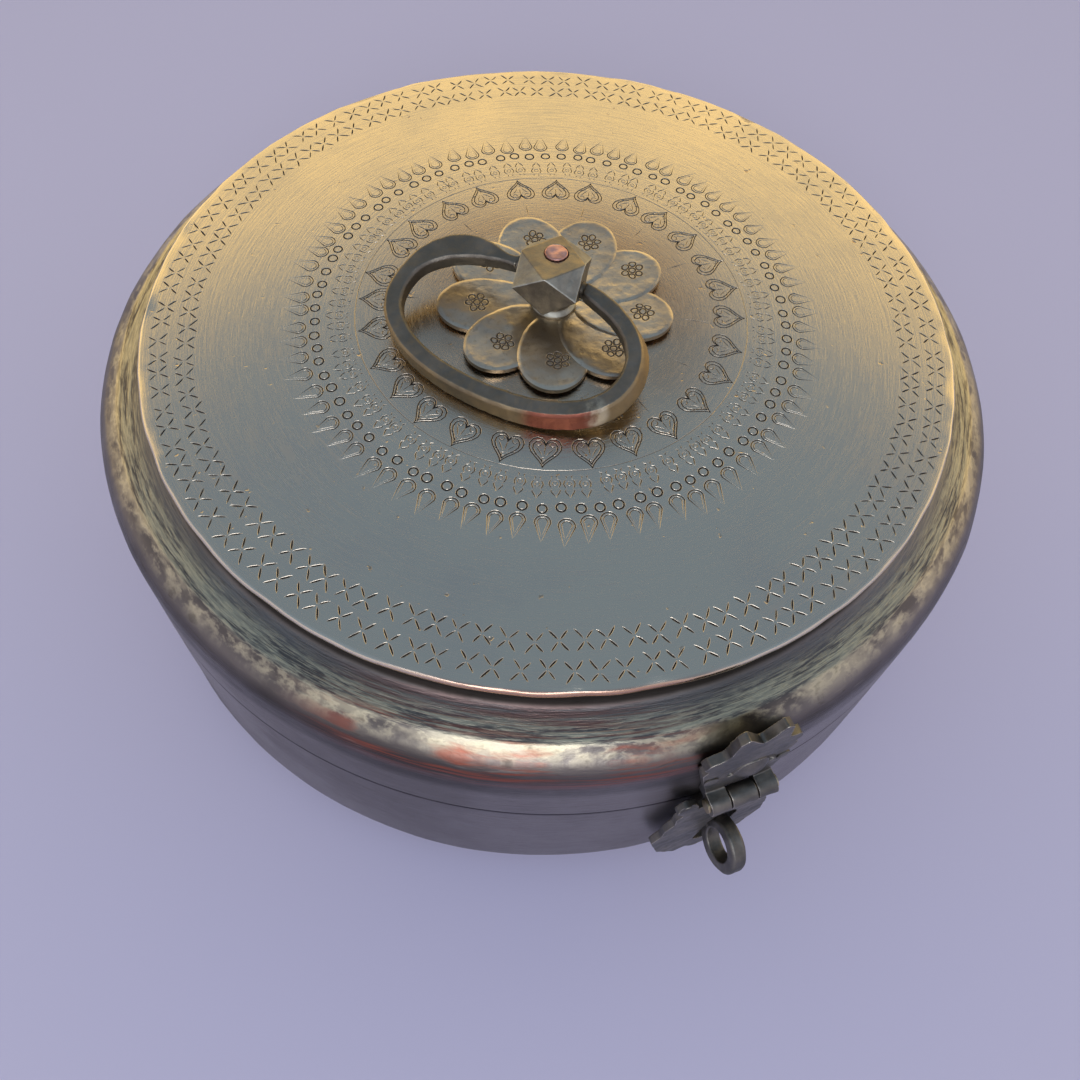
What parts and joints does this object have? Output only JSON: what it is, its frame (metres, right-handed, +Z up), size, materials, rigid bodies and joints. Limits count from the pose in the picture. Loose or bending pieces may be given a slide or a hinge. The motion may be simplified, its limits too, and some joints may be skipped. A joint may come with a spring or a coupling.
{
  "type": "bread box",
  "caption": "Round brass box for flat breads with a hinged lid, punched ornament, a flower and post with an oval drop handle, and a hasp over a ring staple.",
  "frame": {"origin": "centre of the base's flat underside, on the axis of the round box", "axes": "+Z up along the box's axis, -Y towards the hasp at the front, +Y towards the back hinge, +X to the right as seen from the front"},
  "size_m": [0.2268, 0.249, 0.1102],
  "materials": {
    "disc_brass": "worn and tarnished, punched with ornament",
    "petal_brass": "tarnished, stamped",
    "wall_brass": "tarnished, scratched round the box",
    "cast_brass": "cast, dark patina with bright worn edges",
    "hinge_brass": "filed, tarnished",
    "copper_rivet": "copper, hammered"
  },
  "bodies": {
    "base": {"base_bowl": "wall_brass", "collar": "wall_brass", "staple_ring": "cast_brass", "staple_washer": "hinge_brass", "hinge_base_leaf": "hinge_brass", "hinge_base_rivets": "copper_rivet", "hinge_pin": "hinge_brass"},
    "lid": {"lid_plate": "disc_brass", "lid_ring": "wall_brass", "rosette": "petal_brass", "knob_post": "cast_brass", "knob_rivet": "copper_rivet", "knob_washer": "hinge_brass", "hasp_plate": "cast_brass", "hasp_plate_rivets": "cast_brass", "hasp_pin": "hinge_brass", "hinge_lid_leaf": "hinge_brass", "hinge_lid_rivets": "copper_rivet"},
    "handle": {"ring_handle": "cast_brass"},
    "hasp": {"hasp_flap": "cast_brass"}
  },
  "joints": [
    {"name": "lid_hinge", "type": "hinge", "parent": "base", "child": "lid", "pos_m": [0, 0.1172, 0.05115], "axis": [-1, 0, 0], "range_deg": [0, 170]},
    {"name": "handle_hinge", "type": "hinge", "parent": "lid", "child": "handle", "pos_m": [-0.0012, -0.001, 0.1032], "axis": [-0.6534, 0.757, 0], "range_deg": [0, 204]},
    {"name": "hasp_hinge", "type": "hinge", "parent": "lid", "child": "hasp", "pos_m": [0, -0.1178, 0.057], "axis": [-1, 0, 0], "range_deg": [0, 160]}
  ]
}
